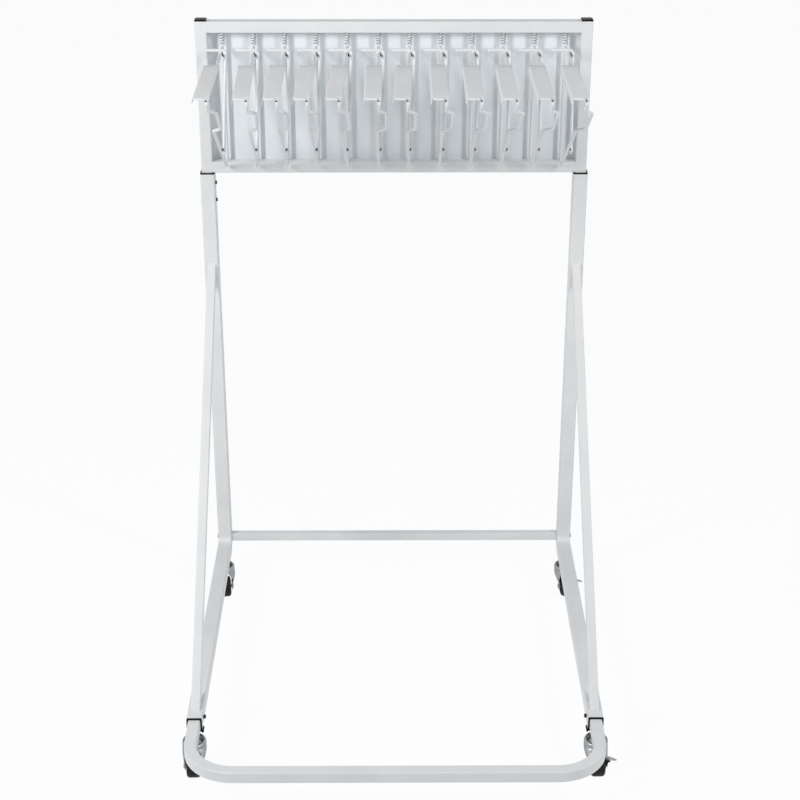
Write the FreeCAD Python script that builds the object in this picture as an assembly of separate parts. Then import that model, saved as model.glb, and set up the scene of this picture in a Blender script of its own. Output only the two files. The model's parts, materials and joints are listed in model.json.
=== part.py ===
import FreeCAD, Part
import math
import os

# Plan hanging rack: two bent side frames on casters, a telescoping U base in front,
# a telescoping head frame above, and twelve wire arms that swing on the head.
# Millimetres. +X to the right seen from the front, +Y to the back, +Z up.
# The origin is on the floor, midway between the side frames and midway front to back.

# --- tubes ---
frame_tube = 32.0
frame_wall = 1.5
head_tube = 25.0
head_wall = 1.2
brace_tube = 19.0
brace_wall = 1.2
corner_share = 0.1          # outer corner radius as a share of the tube's side
bush_gap = 0.2              # play between a sliding tube and its bush, each side
bush_seat_gap = 0.1         # play between a bush's sleeve and the tube that it sits in

# --- side frames ---
frame_x = 416.0             # centre of each side frame
depth = 947.5               # U base front to column back
caster_height = 70.0        # floor to the underside of the side rails
column_top = 1038.0
foot_radius = 28.0          # centreline radius of the bend between column and rail
rail_reach = 767.8          # column back face to the rail's cut front end
brace_top = 827.0           # where the brace's upper edge meets the column's front face
brace_run = 713.1           # column front face to where the same edge meets the rail
crossbar_z = 107.9

# --- U base ---
u_radius = 92.0             # centreline radius of its two bends
u_insert = 300.0            # length of each leg inside its rail

# --- head ---
head_bottom = 1041.0
head_top = 1378.0
post_insert = 400.0         # length of each post inside its column
panel_sheet = 1.0
panel_side_inset = 4.0      # panel edge to the columns' outer faces
panel_edge_inset = 0.5
cap_height = 4.0
cap_chamfer = 1.5
cap_overhang = 0.2
cap_plug = 12.0

# --- arms: dx to the right of the pivot, b in front of it, z above the floor ---
arm_count = 12
arm_pitch = 67.5
rod_diameter = 7.0
rod_clearance = 0.1
rod_end_gap = 0.4           # pivot rod's foot above the bottom rail's upper wall
rod_top_entry = 9.0         # length of the pivot rod inside the top rail
rest_angles = [0.0, 1.5, 0.4, -0.8, -1.4, 0.0, -1.5, -0.4, -0.1, 0.1, 0.5, 0.4]
top_wire_rear_z = 1320.8
arm_bends = [(4.5, 410.0, 1309.5), (3.5, 383.0, 1284.0), (19.0, 367.0, 1274.5), (17.5, 289.0, 1221.5),
             (0.0, 257.0, 1207.5)]
arm_bend_radii = [6.0, 8.0, 8.0, 10.0, 10.0]
arm_tail = (0.0, 23.5, 1061.0)
hook_b = 54.0               # the strut's hook crosses the top wire this far from the pivot
hook_left = 34.0
strut_right = 11.5
strut_foot = (6.8, 134.5, 1126.0)
strut_radius = 8.0
weld_sink = 0.2             # how far crossing wires sink into each other at a weld

# --- label plates ---
plate_from = 163.0
plate_to = 398.0
plate_left = -25.0
plate_right = 9.0
plate_sheet = 1.2
plate_flange = 9.0
plate_seat_gap = 0.05
lip_radius = 4.0
lip_angle = 65.0
lip_notch = 1.2             # gap between the wire and the notch in the lip

# --- springs ---
spring_diameter = 11.3
spring_wire = 1.3
spring_pitch = 5.6
spring_end_gap = 1.0

# --- bushes and fasteners ---
bush_flange = 3.0
column_bush_depth = 16.0
rail_bush_depth = 8.0
screw_radius = 2.5
screw_head_radius = 4.25
column_screw_head = 3.2
rail_screw_head = 5.0
screw_head_round = 0.5
screw_tip_gap = 0.3         # screw tip to the inner tube that it clamps
column_screw_drops = (23.0, 63.0)
rail_screw_setback = 28.0
bolt_radius = 3.0
bolt_head_radius = 5.5
bolt_head = 3.2
bolt_reach = 16.0           # bolt length inside the crossbar
insert_length = 20.0
rivet_radius = 2.0
rivet_head_radius = 4.0
rivet_head = 1.2
rivet_reach = 4.0
rivet_count = 6             # rivets along each head rail
hole_play = 0.05            # radial play of a fastener in its hole

# --- casters: sizes about their own swivel axis, trailing toward -Y ---
wheel_radius = 25.0
wheel_half_width = 14.5
wheel_shoulder = 7.0        # radius of the tread's rounded shoulders
wheel_rim_inner = 17.5
wheel_web_inset = 3.5
wheel_hub_radius = 8.0
axle_radius = 4.0
axle_head_radius = 5.5
axle_head = 2.0
axle_play = 0.08
trail = 30.0
front_caster_y = -320.0
rear_caster_y = 385.0
turns = {"front_left": 3.0, "front_right": 1.0, "rear_left": 8.0, "rear_right": 4.0}
fork_inner = 16.6
fork_sheet = 2.2
leg_eye = 9.0
leg_back = 14.0
leg_front = -15.0
leg_shoulder = (-34.5, 47.0)
crown_radius = 25.0
crown_z = 61.5              # top of the crown's flat outer ring
crown_sheet = 2.0
crown_rim = 4.5             # depth of the crown's turned-down rim
dome_radius = 12.5
dome_foot = 15.5
dome_rise = 1.7
race_gap = 0.4              # between the fork and the fixed parts above and below it
race_radius = 15.0
race_height = 2.4
race_rim = 0.6              # how far the race's rim hangs below its underside
stem_radius = 5.0
stem_top = 94.0
stem_nut_radius = 9.8
stem_foot_radius = 8.0
stem_foot = 2.8
socket_flange = 3.5
socket_flange_radius = 13.0
socket_sleeve = 7.5
socket_depth = 22.0

# --- brakes, on the right-hand casters ---
pedal_pin_radius = 1.5
pedal_pin_z = 38.0
pedal_pin_out = 3.1         # pin axis outside the fork's leg
pedal_barrel_radius = 2.7
lug_round = 2.4
lug_sheet = 1.5
lug_inner = 3.1             # the lugs' inner faces, each side of the pedal
pedal_tilt = 18.0
pedal_sheet = 1.8
pedal_lift = 2.6            # tab's underside above the pin
pedal_reach = 17.5
pedal_waist = 4.0
pedal_half_width = 5.5
pedal_tip_half_width = 1.5
cam_half_width = 2.8
cam_outside = 3.5
cam_inside = 1.3
cam_drop = 5.8
shoe_tip = 16.2
shoe_low = 5.6              # the shoe's lower and upper faces, below the pin
shoe_high = 2.6
window_half_width = 3.6
window_low = 7.0            # the leg's window, below and above the pin
window_high = 1.0

# --- worked out ---
sides = {"left": -1, "right": 1}
column_y = depth / 2 - frame_tube / 2
column_front = column_y - frame_tube / 2
rail_z = caster_height + frame_tube / 2
rail_top = caster_height + frame_tube
rail_end = depth / 2 - rail_reach
head_back = column_y + head_tube / 2
inner_face = frame_x - frame_tube / 2
outer_face = frame_x + frame_tube / 2
rail_half_length = frame_x - head_tube / 2
u_front_y = -depth / 2 + head_tube / 2
u_bottom = rail_z - head_tube / 2
top_rail_z = head_top - head_tube / 2
bottom_rail_z = head_bottom + head_tube / 2
panel_middle = (head_bottom + head_top) / 2
wire_radius = rod_diameter / 2
wire_drop = (top_wire_rear_z - arm_bends[0][2]) / arm_bends[0][1]
pivot_xs = [(i - (arm_count - 1) / 2) * arm_pitch for i in range(arm_count)]
rivet_xs = [(i - (rivet_count - 1) / 2) * 2 * arm_pitch for i in range(rivet_count)]
fork_outer = fork_inner + fork_sheet
dome_top = crown_z + dome_rise
pedal_pin_x = fork_outer + pedal_pin_out
caster_places = {
    "front_left": (-1, front_caster_y), "front_right": (1, front_caster_y),
    "rear_left": (-1, rear_caster_y), "rear_right": (1, rear_caster_y)}


def V(x, y, z):
    return FreeCAD.Vector(x, y, z)


def square_wire(side, corner):
    half = side / 2
    flat = half - corner
    diagonal = flat + corner * math.sqrt(0.5)
    turns_round = [(1, 1), (-1, 1), (-1, -1), (1, -1)]
    edges = []
    for index, (sx, sy) in enumerate(turns_round):
        along_x = V(sx * flat, sy * half, 0)
        along_y = V(sx * half, sy * flat, 0)
        first, last = (along_y, along_x) if index % 2 == 0 else (along_x, along_y)
        edges.append(Part.Arc(first, V(sx * diagonal, sy * diagonal, 0), last).toShape())
        nx, ny = turns_round[(index + 1) % 4]
        following = V(nx * flat, ny * half, 0) if index % 2 == 0 else V(nx * half, ny * flat, 0)
        edges.append(Part.makeLine(last, following))
    return Part.Wire(edges)


def square_face(side, corner):
    return Part.Face(square_wire(side, corner))


def tube_face(side, wall):
    corner = side * corner_share
    inner_corner = max(corner - wall, 0.5)
    ring = square_face(side, corner).cut(square_face(side - 2 * wall, inner_corner))
    return ring.Faces[0]


def stand_across(shape, direction):
    """Turn a profile drawn flat in XY so that it faces along a direction."""
    sideways = V(1, 0, 0)
    if abs(direction.getAngle(sideways)) < 0.01:
        sideways = V(0, 1, 0)
    turn = FreeCAD.Rotation(sideways, V(0, 0, 0), direction, "ZXY")
    turned = shape.copy()
    turned.Placement = FreeCAD.Placement(V(0, 0, 0), turn)
    return turned


def straight_tube(side, wall, start, end):
    profile = stand_across(tube_face(side, wall), end - start)
    profile.translate(start)
    return profile.extrude(end - start)


def bent_tube(side, wall, start, direction, pivot, axis, angle):
    profile = stand_across(tube_face(side, wall), direction)
    profile.translate(start)
    return profile.revolve(pivot, axis, angle)


def box(low, high):
    block = Part.makeBox(high[0] - low[0], high[1] - low[1], high[2] - low[2])
    block.translate(V(*low))
    return block


def rod(radius, start, end):
    return Part.makeCylinder(radius, (end - start).Length, start, end - start)


def joined(shapes):
    return shapes[0].fuse(shapes[1:]).removeSplitter()


def closed_polygon(corners):
    return Part.Face(Part.makePolygon(corners + [corners[0]]))


def turned_profile(points):
    """A solid of revolution about Z from (radius, z) points."""
    return closed_polygon([V(r, 0, z) for r, z in points]).revolve(V(0, 0, 0), V(0, 0, 1), 360)


def square_ring(side, hole, length, direction, start):
    ring = square_face(side, side * corner_share).cut(square_face(hole, hole * corner_share))
    profile = stand_across(ring.Faces[0], direction)
    profile.translate(start)
    return profile.extrude(direction * length)


def rounded_path(points, radii):
    edges = []
    previous = points[0]
    for index in range(1, len(points) - 1):
        corner = points[index]
        back = (points[index - 1] - corner).normalize()
        ahead = (points[index + 1] - corner).normalize()
        half_angle = back.getAngle(ahead) / 2
        radius = radii[index - 1]
        tangent = radius / math.tan(half_angle)
        arc_start = corner + back * tangent
        arc_end = corner + ahead * tangent
        middle = (back + ahead).normalize() * (radius / math.sin(half_angle) - radius)
        edges.append(Part.makeLine(previous, arc_start))
        edges.append(Part.Arc(arc_start, corner + middle, arc_end).toShape())
        previous = arc_end
    edges.append(Part.makeLine(previous, points[-1]))
    return Part.Wire(edges)


def bent_wire(points, radii, radius):
    section = Part.Wire(Part.makeCircle(radius, points[0], points[1] - points[0]))
    return rounded_path(points, radii).makePipeShell([section], True, False)


def save(name, shapes):
    solids = shapes if isinstance(shapes, list) else [shapes]
    for solid in solids:
        if not solid.isValid() or solid.Volume <= 0:
            raise ValueError(name + " is not a sound solid")
    group = solids[0] if len(solids) == 1 else Part.makeCompound(solids)
    if len(group.Solids) != len(solids):
        raise ValueError(name + " has loose or joined solids")
    group.exportStep(os.path.join("parts", name + ".step"))
    print(f"{name:24s} {len(solids):3d} solid(s) {group.Volume / 1000:9.2f} cm3")


# --- side frames ---

def column_screw_places():
    return [V(-inner_face, column_y, column_top - drop) for drop in column_screw_drops]


def rail_screw_place(side):
    return V(side * inner_face, rail_end + rail_screw_setback, rail_z)


def side_frame(side):
    x = side * frame_x
    bend_y = column_y - foot_radius
    bend_z = rail_z + foot_radius
    column = straight_tube(frame_tube, frame_wall, V(x, column_y, bend_z), V(x, column_y, column_top))
    foot = bent_tube(frame_tube, frame_wall, V(x, column_y, bend_z), V(0, 0, -1),
                     V(x, bend_y, bend_z), V(1, 0, 0), -90)
    rail = straight_tube(frame_tube, frame_wall, V(x, bend_y, rail_z), V(x, rail_end, rail_z))
    bolt_hole = rod(bolt_radius + hole_play, V(x - frame_tube, column_y, crossbar_z),
                    V(x + frame_tube, column_y, crossbar_z))
    stem_hole = rod(stem_radius + hole_play, V(x, rear_caster_y, caster_height - 1),
                    V(x, rear_caster_y, rail_z))
    screws = [rail_screw_place(side)]
    if side < 0:
        screws += column_screw_places()
    across = V(2 * frame_wall, 0, 0)
    screw_holes = [rod(screw_radius, place - across, place + across) for place in screws]
    return joined([column, foot, rail]).cut([bolt_hole, stem_hole] + screw_holes)


def brace(side):
    """A straight tube mitred onto the column's front face and the rail's top face."""
    x = side * frame_x
    upper = V(x, column_front, brace_top)
    lower = V(x, column_front - brace_run, rail_top)
    along = (upper - lower).normalize()
    inward = V(0, along.z, -along.y) * (brace_tube / 2)
    overrun = along * (3 * brace_tube)
    tube = straight_tube(brace_tube, brace_wall, lower + inward - overrun, upper + inward + overrun)
    behind = box((x - frame_tube, column_front, 0), (x + frame_tube, depth, head_top))
    below = box((x - frame_tube, -depth, 0), (x + frame_tube, depth, rail_top))
    return tube.cut([behind, below])


def clamp_screw(place, inward, head_length):
    head = rod(screw_head_radius, place, place + inward * head_length)
    rims = [e for e in head.Edges if (e.CenterOfMass - place).Length > head_length * 0.9 and e.Closed]
    head = head.makeFillet(screw_head_round, rims)
    reach = (frame_tube - head_tube) / 2 - screw_tip_gap
    return joined([head, rod(screw_radius - hole_play, place, place - inward * reach)])


def crossbar():
    return straight_tube(brace_tube, brace_wall, V(-inner_face, column_y, crossbar_z),
                         V(inner_face, column_y, crossbar_z))


def crossbar_bolt(side):
    inward = V(-side, 0, 0)
    seat = V(side * outer_face, column_y, crossbar_z)
    head = rod(bolt_head_radius, seat, seat - inward * bolt_head)
    return joined([head, rod(bolt_radius, seat, seat + inward * (frame_tube + bolt_reach))])


def crossbar_insert(side):
    """A square plug inside the crossbar's end, bored for the bolt."""
    start = V(side * inner_face, column_y, crossbar_z)
    inward = V(-side, 0, 0)
    profile = stand_across(square_face(brace_tube - 2 * brace_wall - 2 * bush_seat_gap, 1.0), inward)
    profile.translate(start)
    bore = rod(bolt_radius + hole_play, start - inward, start + inward * (insert_length + 1))
    return profile.extrude(inward * insert_length).cut(bore)


def sleeve_bush(mouth, inward, depth_inside):
    """A flanged square bush: the flange covers the tube's end, the sleeve is inside it."""
    hole = head_tube + 2 * bush_gap
    sleeve_side = frame_tube - 2 * frame_wall - 2 * bush_seat_gap
    flange = square_ring(frame_tube, hole, bush_flange, inward * -1, mouth)
    return joined([flange, square_ring(sleeve_side, hole, depth_inside, inward, mouth)])


# --- U base ---

def u_base():
    leg_back_y = rail_end + u_insert
    bend_y = u_front_y + u_radius
    bend_x = frame_x - u_radius
    parts = []
    for side in (-1, 1):
        x = side * frame_x
        parts.append(straight_tube(head_tube, head_wall, V(x, leg_back_y, rail_z), V(x, bend_y, rail_z)))
        parts.append(bent_tube(head_tube, head_wall, V(x, bend_y, rail_z), V(0, -1, 0),
                               V(side * bend_x, bend_y, rail_z), V(0, 0, 1), -side * 90))
    parts.append(straight_tube(head_tube, head_wall, V(-bend_x, u_front_y, rail_z),
                               V(bend_x, u_front_y, rail_z)))
    socket_holes = [rod(socket_sleeve + hole_play, V(s * frame_x, front_caster_y, u_bottom - 1),
                        V(s * frame_x, front_caster_y, rail_z)) for s in (-1, 1)]
    return joined(parts).cut(socket_holes)


def caster_socket(side):
    foot = V(side * frame_x, front_caster_y, caster_height)
    flange = rod(socket_flange_radius, foot, foot + V(0, 0, socket_flange))
    sleeve = rod(socket_sleeve, foot, foot + V(0, 0, socket_depth))
    bore = rod(stem_radius + hole_play, foot - V(0, 0, 1), foot + V(0, 0, socket_depth + 1))
    return joined([flange, sleeve]).cut(bore)


# --- head ---

def rivet_places():
    places = [V(x, head_back, z) for z in (top_rail_z, bottom_rail_z) for x in rivet_xs]
    return places + [V(side * frame_x, head_back, panel_middle) for side in (-1, 1)]


def rivet_hole(place):
    return rod(rivet_radius + hole_play, place - V(0, 2 * head_wall, 0), place + V(0, 2 * panel_sheet, 0))


def head_post(side):
    x = side * frame_x
    tube = straight_tube(head_tube, head_wall, V(x, column_y, head_bottom - post_insert),
                         V(x, column_y, head_top))
    return tube.cut(rivet_hole(V(x, head_back, panel_middle)))


def head_rail(z, wall_side):
    """A rail with a row of pivot holes in the wall that faces the arms."""
    tube = straight_tube(head_tube, head_wall, V(-rail_half_length, column_y, z),
                         V(rail_half_length, column_y, z))
    holes = [rod(wire_radius + rod_clearance, V(x, column_y, z), V(x, column_y, z + wall_side * head_tube))
             for x in pivot_xs]
    return tube.cut(holes + [rivet_hole(V(x, head_back, z)) for x in rivet_xs])


def back_panel():
    sheet = box((panel_side_inset - outer_face, head_back, head_bottom + panel_edge_inset),
                (outer_face - panel_side_inset, head_back + panel_sheet, head_top - panel_edge_inset))
    return sheet.cut([rivet_hole(place) for place in rivet_places()])


def rivet(place):
    seat = place + V(0, panel_sheet, 0)
    shank = rod(rivet_radius, place - V(0, rivet_reach, 0), seat)
    return joined([shank, rod(rivet_head_radius, seat, seat + V(0, rivet_head, 0))])


def post_cap(side):
    base = V(side * frame_x, column_y, head_top)
    lid_side = head_tube + 2 * cap_overhang
    straight = cap_height - cap_chamfer
    lid = square_face(lid_side, cap_chamfer)
    lid.translate(base)
    shoulder = square_wire(lid_side, cap_chamfer)
    shoulder.translate(base + V(0, 0, straight))
    top = square_wire(lid_side - 2 * cap_chamfer, 1.0)
    top.translate(base + V(0, 0, cap_height))
    plug = square_face(head_tube - 2 * head_wall - 2 * bush_seat_gap, 1.0)
    plug.translate(base - V(0, 0, cap_plug))
    return joined([lid.extrude(V(0, 0, straight)), Part.makeLoft([shoulder, top], True, True),
                   plug.extrude(V(0, 0, cap_plug))])


def pivot_spring(x):
    """An open coil round the pivot rod, between the top rail and the arm."""
    low = top_wire_rear_z + wire_radius + spring_end_gap
    high = head_top - head_tube - spring_end_gap
    radius = (spring_diameter - spring_wire) / 2
    helix = Part.makeHelix(spring_pitch, high - low, radius)
    section = Part.Wire(Part.makeCircle(spring_wire / 2, V(radius, 0, 0), V(0, 1, 0)))
    coil = Part.Wire(helix.Edges).makePipeShell([section], True, True)
    coil.translate(V(x, column_y, low))
    return coil


# --- arms, drawn about their own pivot ---

def arm_point(dx, b, z):
    return V(dx, -b, z)


def arm_wire():
    """The pivot rod, the bent main wire and the strut with its hook, welded together."""
    pivot = rod(wire_radius, V(0, 0, head_bottom + head_wall + rod_end_gap),
                V(0, 0, head_top - head_tube + rod_top_entry))
    tail = arm_point(*arm_tail)
    corners = [arm_point(0, 0, top_wire_rear_z)] + [arm_point(*bend) for bend in arm_bends] + [tail]
    main = bent_wire(corners, arm_bend_radii, wire_radius)
    hook_z = top_wire_rear_z - wire_drop * hook_b + rod_diameter - weld_sink
    hook_tip = arm_point(-hook_left, hook_b, hook_z)
    strut = bent_wire([hook_tip, arm_point(strut_right, hook_b, hook_z), arm_point(*strut_foot)],
                      [strut_radius], wire_radius)
    round_ends = [Part.makeSphere(wire_radius, end) for end in (tail, hook_tip)]
    return joined([pivot, main, strut] + round_ends)


def arm_plate():
    """The sheet label plate on the top wire: flat top, left flange and a notched lip in front."""
    seat_z = wire_radius + plate_seat_gap
    top = box((plate_left, -plate_to, seat_z), (plate_right, -plate_from, seat_z + plate_sheet))
    flange = box((plate_left, -plate_to, seat_z - plate_flange),
                 (plate_left + plate_sheet, -plate_from, seat_z + plate_sheet))
    lip_profile = closed_polygon([
        V(plate_left, -plate_to, seat_z), V(plate_right, -plate_to, seat_z),
        V(plate_right, -plate_to, seat_z + plate_sheet), V(plate_left, -plate_to, seat_z + plate_sheet)])
    lip = lip_profile.revolve(V(0, -plate_to, seat_z - lip_radius), V(1, 0, 0), lip_angle)
    wire_dx, wire_b, _ = arm_bends[0]
    wire_end = V(wire_dx, -wire_b, 0)
    lip = lip.cut(rod(wire_radius + lip_notch, wire_end * 0.5, wire_end * 1.2))
    sheet = joined([top, flange, lip])
    sheet.rotate(V(0, 0, 0), V(1, 0, 0), math.degrees(math.atan(wire_drop)))
    sheet.translate(V(0, 0, top_wire_rear_z))
    return sheet


def set_arm(shape, index):
    placed = shape.copy()
    placed.rotate(V(0, 0, 0), V(0, 0, 1), rest_angles[index])
    placed.translate(V(pivot_xs[index], column_y, 0))
    return placed


# --- casters ---

def tangent_point(point, centre, radius, side):
    """Where a line from a point touches a circle, in a plane."""
    dx = point[0] - centre[0]
    dy = point[1] - centre[1]
    angle = math.atan2(dy, dx) + side * math.acos(radius / math.hypot(dx, dy))
    return (centre[0] + radius * math.cos(angle), centre[1] + radius * math.sin(angle))


def fork_leg(side):
    eye = (-trail, wheel_radius)
    top_z = crown_z - crown_sheet / 2
    back_top = (leg_back, top_z)
    outline = [back_top, (leg_front, top_z), leg_shoulder, tangent_point(leg_shoulder, eye, leg_eye, 1),
               tangent_point(back_top, eye, leg_eye, -1)]
    blade = closed_polygon([V(0, y, z) for y, z in outline]).extrude(V(fork_sheet, 0, 0))
    leg = joined([blade, rod(leg_eye, V(0, *eye), V(fork_sheet, *eye))])
    leg = leg.cut(rod(axle_radius + hole_play, V(-1, *eye), V(fork_sheet + 1, *eye)))
    leg.translate(V(fork_inner if side > 0 else -fork_outer, 0, 0))
    return leg


def fork_crown():
    """A pressed disc with a raised dome at the stem and a turned-down rim."""
    bore = stem_radius + axle_play
    low = crown_z - crown_sheet
    return turned_profile([
        (bore, dome_top), (dome_radius, dome_top), (dome_foot, crown_z), (crown_radius - 1.4, crown_z),
        (crown_radius, crown_z - 1.4), (crown_radius, crown_z - crown_rim),
        (crown_radius - crown_sheet, crown_z - crown_rim), (crown_radius - crown_sheet, low),
        (dome_foot - 0.8, low), (dome_radius - 0.8, dome_top - crown_sheet), (bore, dome_top - crown_sheet)])


def pedal_lug(y):
    """A small ear on the fork's leg, round about the pedal's pin."""
    start = V(pedal_pin_x, y, pedal_pin_z)
    arm = box((fork_outer - fork_sheet / 4, y, pedal_pin_z - lug_round),
              (pedal_pin_x, y + lug_sheet, pedal_pin_z + lug_round))
    return joined([arm, rod(lug_round, start, start + V(0, lug_sheet, 0))])


def caster_fork(braked):
    fork = joined([fork_crown(), fork_leg(-1), fork_leg(1)])
    if not braked:
        return fork
    window = box((fork_inner - 1, -trail - window_half_width, pedal_pin_z - window_low),
                 (fork_outer + 1, -trail + window_half_width, pedal_pin_z + window_high))
    pin_end = lug_inner + lug_sheet
    pin = rod(pedal_pin_radius, V(pedal_pin_x, -trail - pin_end, pedal_pin_z),
              V(pedal_pin_x, -trail + pin_end, pedal_pin_z))
    return joined([fork.cut(window), pedal_lug(-trail - pin_end), pedal_lug(-trail + lug_inner), pin])


def brake_pedal():
    """A side lever: a tab for the foot, a cam below it and a shoe that reaches in to the wheel."""
    pin = V(pedal_pin_x, -trail, pedal_pin_z)
    across = V(0, cam_half_width, 0)
    barrel = rod(pedal_barrel_radius, pin - across, pin + across)
    tab = closed_polygon([
        V(0, -pedal_half_width, 0), V(pedal_waist, -pedal_half_width, 0),
        V(pedal_reach, -pedal_tip_half_width, 0), V(pedal_reach, pedal_tip_half_width, 0),
        V(pedal_waist, pedal_half_width, 0), V(0, pedal_half_width, 0)]).extrude(V(0, 0, pedal_sheet))
    tab.translate(V(0, 0, pedal_lift))
    tab.rotate(V(0, 0, 0), V(0, 1, 0), pedal_tilt)
    tab.translate(pin)
    cam = box((pin.x - cam_inside, -trail - cam_half_width, pin.z - cam_drop),
              (pin.x + cam_outside, -trail + cam_half_width, pin.z))
    shoe = box((shoe_tip, -trail - cam_half_width, pin.z - shoe_low),
               (pin.x, -trail + cam_half_width, pin.z - shoe_high))
    bore = rod(pedal_pin_radius + axle_play, pin - across * 4, pin + across * 4)
    return joined([barrel, tab, cam, shoe]).cut(bore)


def caster_wheel():
    """A moulded wheel: rounded shoulders, a recessed web and a hub as wide as the tread."""
    w = wheel_half_width
    web = w - wheel_web_inset
    half = [(axle_radius + axle_play, w), (wheel_hub_radius, w), (wheel_hub_radius + 1, web),
            (wheel_rim_inner - 1, web), (wheel_rim_inner, w), (wheel_radius, w)]
    wheel = turned_profile(half + [(r, -x) for r, x in reversed(half)])
    tread_rims = [edge for edge in wheel.Edges if edge.Closed and edge.BoundBox.XMax > wheel_radius - 0.01]
    wheel = wheel.makeFillet(wheel_shoulder, tread_rims)
    wheel.rotate(V(0, 0, 0), V(0, 1, 0), 90)
    wheel.translate(V(0, -trail, wheel_radius))
    return wheel


def caster_axle():
    """A shouldered rivet: a plain shank with a formed head at each end."""
    centre = V(0, -trail, wheel_radius)
    reach = V(fork_outer, 0, 0)
    head = V(fork_outer + axle_head, 0, 0)
    return joined([rod(axle_radius, centre - reach, centre + reach),
                   rod(axle_head_radius, centre + reach, centre + head),
                   rod(axle_head_radius, centre - head, centre - reach)])


def caster_stem():
    """The threaded stem with its hexagon, the fixed upper race and the rivet head below."""
    race_low = dome_top + race_gap
    race_top = race_low + race_height
    foot_top = dome_top - crown_sheet - race_gap
    foot_low = foot_top - stem_foot
    shaft = rod(stem_radius, V(0, 0, foot_low), V(0, 0, stem_top))
    race = turned_profile([
        (0, race_top), (race_radius - 4, race_top), (race_radius, race_low + race_rim),
        (race_radius, race_low - race_rim), (race_radius - 1.2, race_low - race_rim),
        (race_radius - 3, race_low), (0, race_low)])
    corners = [V(stem_nut_radius * math.cos(math.radians(60 * i)),
                 stem_nut_radius * math.sin(math.radians(60 * i)), race_top) for i in range(6)]
    hexagon = closed_polygon(corners).extrude(V(0, 0, caster_height - race_top))
    foot = turned_profile([
        (0, foot_top), (stem_foot_radius - 1, foot_top), (stem_foot_radius, foot_top - 1.1),
        (stem_foot_radius - 1.6, foot_low + 0.4), (0, foot_low)])
    return joined([shaft, race, hexagon, foot])


def set_caster(shape, name):
    side, y = caster_places[name]
    placed = shape.copy()
    placed.rotate(V(0, 0, 0), V(0, 0, 1), turns[name])
    placed.translate(V(side * frame_x, y, 0))
    return placed


def save_side_frames():
    for name, side in sides.items():
        save("side_frame_" + name, side_frame(side))
        save("brace_" + name, brace(side))
    save("rear_crossbar", crossbar())
    save("crossbar_inserts", [crossbar_insert(s) for s in sides.values()])
    save("crossbar_bolts", [crossbar_bolt(s) for s in sides.values()])
    save("column_bushings", [sleeve_bush(V(s * frame_x, column_y, column_top), V(0, 0, -1),
                                         column_bush_depth) for s in sides.values()])
    save("rail_bushings", [sleeve_bush(V(s * frame_x, rail_end, rail_z), V(0, 1, 0),
                                       rail_bush_depth) for s in sides.values()])
    screws = [clamp_screw(place, V(1, 0, 0), column_screw_head) for place in column_screw_places()]
    screws += [clamp_screw(rail_screw_place(s), V(-s, 0, 0), rail_screw_head) for s in sides.values()]
    save("clamp_screws", screws)


def save_head():
    for name, side in sides.items():
        save("head_post_" + name, head_post(side))
    save("top_rail", head_rail(top_rail_z, -1))
    save("bottom_rail", head_rail(bottom_rail_z, 1))
    save("back_panel", back_panel())
    save("panel_rivets", [rivet(place) for place in rivet_places()])
    save("post_caps", [post_cap(s) for s in sides.values()])
    save("pivot_springs", [pivot_spring(x) for x in pivot_xs])


def save_arms():
    wire = arm_wire()
    label = arm_plate()
    for index in range(arm_count):
        save(f"arm_{index + 1}_wire", set_arm(wire, index))
        save(f"arm_{index + 1}_plate", set_arm(label, index))


def save_casters():
    stem = caster_stem()
    for end in ("front", "rear"):
        save(end + "_caster_stems", [set_caster(stem, f"{end}_{side}") for side in sides])
    forks = {-1: caster_fork(False), 1: caster_fork(True)}
    wheel = caster_wheel()
    axle = caster_axle()
    pedal = brake_pedal()
    for name, (side, _) in caster_places.items():
        save("caster_fork_" + name, set_caster(forks[side], name))
        save("caster_wheel_" + name, set_caster(wheel, name))
        save("caster_axle_" + name, set_caster(axle, name))
        if side > 0:
            save("brake_pedal_" + name, set_caster(pedal, name))


def main():
    os.makedirs("parts", exist_ok=True)
    save_side_frames()
    save("u_base", u_base())
    save("front_caster_sockets", [caster_socket(s) for s in sides.values()])
    save_head()
    save_arms()
    save_casters()


main()
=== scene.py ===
import bmesh
import bpy
import json
import math
from mathutils import Euler, Matrix, Vector


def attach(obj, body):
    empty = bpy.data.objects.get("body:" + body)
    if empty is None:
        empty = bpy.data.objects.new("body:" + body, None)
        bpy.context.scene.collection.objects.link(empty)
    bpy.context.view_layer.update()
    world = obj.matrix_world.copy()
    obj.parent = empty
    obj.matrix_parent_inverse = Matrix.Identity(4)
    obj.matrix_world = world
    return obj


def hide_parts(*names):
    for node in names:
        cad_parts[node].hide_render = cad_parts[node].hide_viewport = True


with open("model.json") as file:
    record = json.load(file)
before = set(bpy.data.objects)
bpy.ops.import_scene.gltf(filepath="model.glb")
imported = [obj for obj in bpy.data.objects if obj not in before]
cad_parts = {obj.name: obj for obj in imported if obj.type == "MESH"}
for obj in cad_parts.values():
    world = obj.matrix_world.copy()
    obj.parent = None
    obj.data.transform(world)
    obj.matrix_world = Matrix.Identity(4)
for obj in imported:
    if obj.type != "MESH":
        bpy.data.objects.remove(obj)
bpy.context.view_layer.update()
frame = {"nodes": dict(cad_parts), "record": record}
nodes = frame["nodes"]
mm = 0.001


def hexColour(text):
    channels = [int(text[i:i + 2], 16) / 255 for i in (1, 3, 5)]
    linear = [c / 12.92 if c <= 0.04045 else ((c + 0.055) / 1.055) ** 2.4 for c in channels]
    return (*linear, 1.0)


def addNode(tree, kind, inputs=None, **settings):
    node = tree.nodes.new(kind)
    for name, value in settings.items():
        setattr(node, name, value)
    for socket, value in (inputs or {}).items():
        if isinstance(value, bpy.types.NodeSocket):
            tree.links.new(value, node.inputs[socket])
        else:
            node.inputs[socket].default_value = value
    return node


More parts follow.
